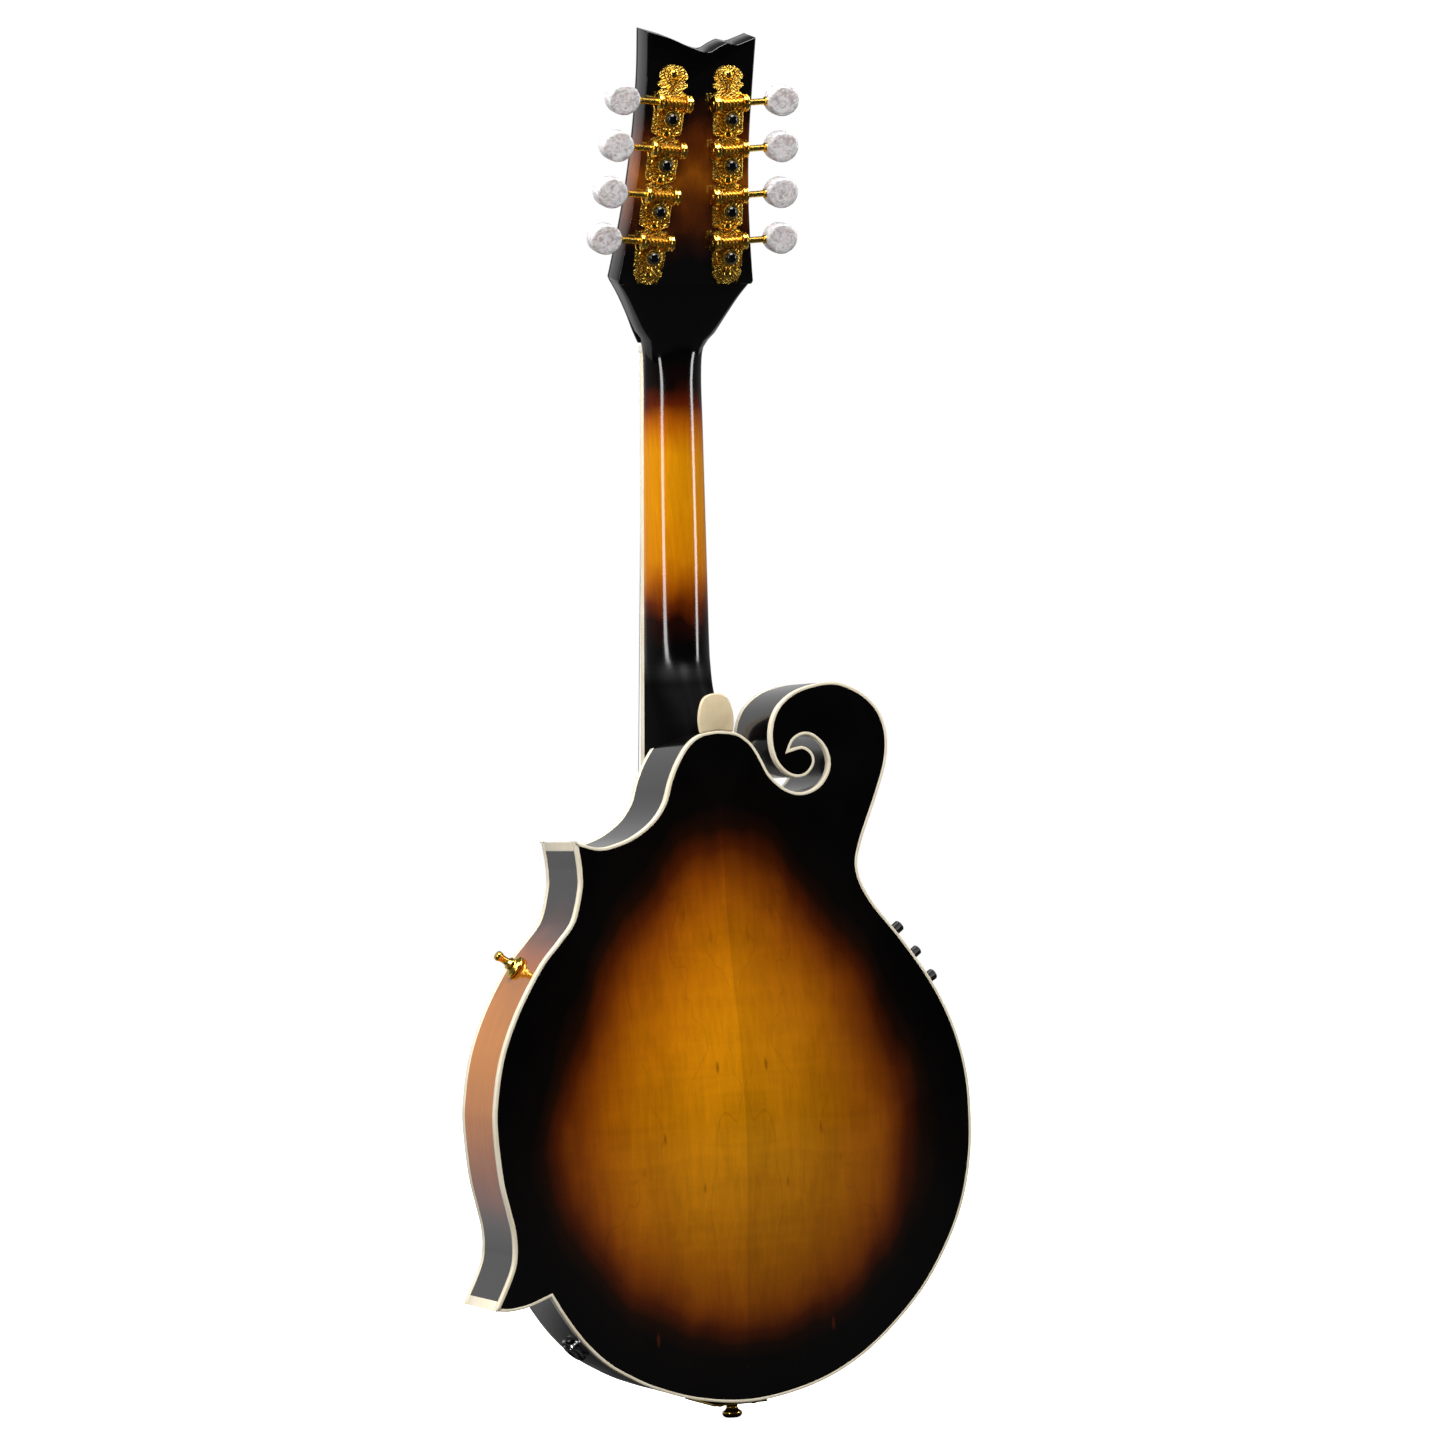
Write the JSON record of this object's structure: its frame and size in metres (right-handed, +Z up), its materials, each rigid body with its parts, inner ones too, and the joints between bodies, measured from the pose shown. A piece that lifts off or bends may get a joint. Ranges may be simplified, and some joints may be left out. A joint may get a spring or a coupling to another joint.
{
  "type": "mandolin",
  "caption": "Scroll-bodied mandolin with an arched sunburst back, cream binding, geared tuners and an adjustable bridge.",
  "frame": {"origin": "on the neck's centre line at the nut, where a wall hanger's yoke holds the neck below the headstock", "axes": "+Z up the instrument to the headstock, -Y the side with the strings, +Y the arched back, +X the side with the two points, -X the side with the scroll"},
  "size_m": [0.2602, 0.1007, 0.6899],
  "materials": {
    "sunburst_maple": "high gloss amber to black sunburst",
    "sunburst_spruce": "high gloss amber to black sunburst",
    "rib_maple": "high gloss reddish amber shading to black",
    "neck_maple": "high gloss black with an amber middle",
    "bare_spruce": "unfinished",
    "cream_binding": "polished cream",
    "rosewood": "oiled dark wood",
    "black_lacquer": "gloss black",
    "white_nut": "satin white",
    "steel": "plain",
    "black_plastic": "satin black",
    "gold_plate": "polished gold plate",
    "gold_tuner": "polished gold plate, with pearl buttons",
    "string_metal": "plain and wound wire",
    "chrome": "polished",
    "brass_disc": "plain"
  },
  "bodies": {
    "instrument": {"back_binding": "cream_binding", "back_plate": "sunburst_maple", "bridge_base": "rosewood", "end_button": "gold_plate", "fingerboard": "rosewood", "fingerboard_binding": "cream_binding", "headstock_overlay": "black_lacquer", "heel_cap": "cream_binding", "lower_point_cap": "cream_binding", "neck": "neck_maple", "neck_block": "bare_spruce", "nut": "white_nut", "output_jack": "chrome", "pickup": "brass_disc", "preamp_box": "black_plastic", "preamp_panel": "black_plastic", "rib_band": "rib_maple", "side_pin": "gold_plate", "string_a_1": "string_metal", "string_a_2": "string_metal", "string_d_1": "string_metal", "string_d_2": "string_metal", "string_e_1": "string_metal", "string_e_2": "string_metal", "string_g_1": "string_metal", "string_g_2": "string_metal", "tail_block": "bare_spruce", "tailpiece_base": "gold_plate", "tone_bar_bass": "bare_spruce", "tone_bar_treble": "bare_spruce", "top_binding": "cream_binding", "top_plate": "sunburst_spruce", "truss_rod": "steel", "truss_rod_cover": "black_plastic", "tuner_plate_bass": "gold_plate", "tuner_plate_treble": "gold_plate", "upper_point_cap": "cream_binding"},
    "key_treble_1": {"tuner_key_treble_1": "gold_tuner"},
    "post_treble_1": {"tuner_post_treble_1": "gold_tuner"},
    "key_treble_2": {"tuner_key_treble_2": "gold_tuner"},
    "post_treble_2": {"tuner_post_treble_2": "gold_tuner"},
    "key_treble_3": {"tuner_key_treble_3": "gold_tuner"},
    "post_treble_3": {"tuner_post_treble_3": "gold_tuner"},
    "key_treble_4": {"tuner_key_treble_4": "gold_tuner"},
    "post_treble_4": {"tuner_post_treble_4": "gold_tuner"},
    "key_bass_1": {"tuner_key_bass_1": "gold_tuner"},
    "post_bass_1": {"tuner_post_bass_1": "gold_tuner"},
    "key_bass_2": {"tuner_key_bass_2": "gold_tuner"},
    "post_bass_2": {"tuner_post_bass_2": "gold_tuner"},
    "key_bass_3": {"tuner_key_bass_3": "gold_tuner"},
    "post_bass_3": {"tuner_post_bass_3": "gold_tuner"},
    "key_bass_4": {"tuner_key_bass_4": "gold_tuner"},
    "post_bass_4": {"tuner_post_bass_4": "gold_tuner"},
    "knob_volume": {"knob_volume": "black_plastic"},
    "knob_bass": {"knob_bass": "black_plastic"},
    "knob_treble": {"knob_treble": "black_plastic"},
    "saddle": {"bridge_saddle": "rosewood"},
    "wheel_bass": {"bridge_wheel_bass": "gold_plate"},
    "wheel_treble": {"bridge_wheel_treble": "gold_plate"},
    "cover": {"tailpiece_cover": "gold_plate"}
  },
  "joints": [
    {"name": "key_treble_1_turn", "type": "hinge", "parent": "instrument", "child": "key_treble_1", "pos_m": [0.01547, 0.05263, 0.11713], "axis": [0.9976, 0.0206, 0.0663], "continuous": true},
    {"name": "post_treble_1_turn", "type": "hinge", "parent": "instrument", "child": "post_treble_1", "pos_m": [0.016, 0.02886, 0.11649], "axis": [0, 0.9548, -0.2972], "continuous": true},
    {"name": "key_treble_2_turn", "type": "hinge", "parent": "instrument", "child": "key_treble_2", "pos_m": [0.01707, 0.04578, 0.09513], "axis": [0.9976, 0.0206, 0.0663], "continuous": true},
    {"name": "post_treble_2_turn", "type": "hinge", "parent": "instrument", "child": "post_treble_2", "pos_m": [0.0176, 0.02201, 0.09448], "axis": [0, 0.9548, -0.2972], "continuous": true},
    {"name": "key_treble_3_turn", "type": "hinge", "parent": "instrument", "child": "key_treble_3", "pos_m": [0.01867, 0.03893, 0.07313], "axis": [0.9976, 0.0206, 0.0663], "continuous": true},
    {"name": "post_treble_3_turn", "type": "hinge", "parent": "instrument", "child": "post_treble_3", "pos_m": [0.01921, 0.01516, 0.07248], "axis": [0, 0.9548, -0.2972], "continuous": true},
    {"name": "key_treble_4_turn", "type": "hinge", "parent": "instrument", "child": "key_treble_4", "pos_m": [0.02028, 0.03208, 0.05113], "axis": [0.9976, 0.0206, 0.0663], "continuous": true},
    {"name": "post_treble_4_turn", "type": "hinge", "parent": "instrument", "child": "post_treble_4", "pos_m": [0.02081, 0.00831, 0.05048], "axis": [0, 0.9548, -0.2972], "continuous": true},
    {"name": "key_bass_1_turn", "type": "hinge", "parent": "instrument", "child": "key_bass_1", "pos_m": [-0.01547, 0.05263, 0.11713], "axis": [0.9976, -0.0206, -0.0663], "continuous": true},
    {"name": "post_bass_1_turn", "type": "hinge", "parent": "instrument", "child": "post_bass_1", "pos_m": [-0.016, 0.02886, 0.11649], "axis": [0, 0.9548, -0.2972], "continuous": true},
    {"name": "key_bass_2_turn", "type": "hinge", "parent": "instrument", "child": "key_bass_2", "pos_m": [-0.01707, 0.04578, 0.09513], "axis": [0.9976, -0.0206, -0.0663], "continuous": true},
    {"name": "post_bass_2_turn", "type": "hinge", "parent": "instrument", "child": "post_bass_2", "pos_m": [-0.0176, 0.02201, 0.09448], "axis": [0, 0.9548, -0.2972], "continuous": true},
    {"name": "key_bass_3_turn", "type": "hinge", "parent": "instrument", "child": "key_bass_3", "pos_m": [-0.01867, 0.03893, 0.07313], "axis": [0.9976, -0.0206, -0.0663], "continuous": true},
    {"name": "post_bass_3_turn", "type": "hinge", "parent": "instrument", "child": "post_bass_3", "pos_m": [-0.01921, 0.01516, 0.07248], "axis": [0, 0.9548, -0.2972], "continuous": true},
    {"name": "key_bass_4_turn", "type": "hinge", "parent": "instrument", "child": "key_bass_4", "pos_m": [-0.02028, 0.03208, 0.05113], "axis": [0.9976, -0.0206, -0.0663], "continuous": true},
    {"name": "post_bass_4_turn", "type": "hinge", "parent": "instrument", "child": "post_bass_4", "pos_m": [-0.02081, 0.00831, 0.05048], "axis": [0, 0.9548, -0.2972], "continuous": true},
    {"name": "knob_volume_turn", "type": "hinge", "parent": "instrument", "child": "knob_volume", "pos_m": [-0.09596, 0.02, -0.29761], "axis": [-0.7898, 0, 0.6133], "range_deg": [-150, 150]},
    {"name": "knob_bass_turn", "type": "hinge", "parent": "instrument", "child": "knob_bass", "pos_m": [-0.1053, 0.02, -0.31027], "axis": [-0.8108, 0, 0.5853], "range_deg": [-150, 150]},
    {"name": "knob_treble_turn", "type": "hinge", "parent": "instrument", "child": "knob_treble", "pos_m": [-0.11309, 0.02, -0.3226], "axis": [-0.8523, 0, 0.5231], "range_deg": [-150, 150]},
    {"name": "saddle_lift", "type": "slide", "parent": "instrument", "child": "saddle", "axis": [0, -1, 0], "range_m": [-0.0012, 0.0014], "deforming": ["string_a_1", "string_a_2", "string_d_1", "string_d_2", "string_e_1", "string_e_2", "string_g_1", "string_g_2"]},
    {"name": "wheel_bass_turn", "type": "hinge", "parent": "saddle", "child": "wheel_bass", "pos_m": [-0.036, -0.03075, -0.35], "axis": [0, -1, 0], "range_deg": [-540, 630]},
    {"name": "wheel_treble_turn", "type": "hinge", "parent": "saddle", "child": "wheel_treble", "pos_m": [0.036, -0.03075, -0.35], "axis": [0, -1, 0], "range_deg": [-540, 630]},
    {"name": "cover_slide", "type": "slide", "parent": "instrument", "child": "cover", "axis": [0, 0, -1], "range_m": [0, 0.045]}
  ],
  "couplings": [
    {"joint": "post_treble_1_turn", "follows": "key_treble_1_turn", "ratio": -0.0625},
    {"joint": "post_treble_2_turn", "follows": "key_treble_2_turn", "ratio": -0.0625},
    {"joint": "post_treble_3_turn", "follows": "key_treble_3_turn", "ratio": -0.0625},
    {"joint": "post_treble_4_turn", "follows": "key_treble_4_turn", "ratio": -0.0625},
    {"joint": "post_bass_1_turn", "follows": "key_bass_1_turn", "ratio": -0.0625},
    {"joint": "post_bass_2_turn", "follows": "key_bass_2_turn", "ratio": -0.0625},
    {"joint": "post_bass_3_turn", "follows": "key_bass_3_turn", "ratio": -0.0625},
    {"joint": "post_bass_4_turn", "follows": "key_bass_4_turn", "ratio": -0.0625},
    {"joint": "wheel_bass_turn", "follows": "saddle_lift", "rad_per_m": 7854},
    {"joint": "wheel_treble_turn", "follows": "saddle_lift", "rad_per_m": 7854}
  ]
}
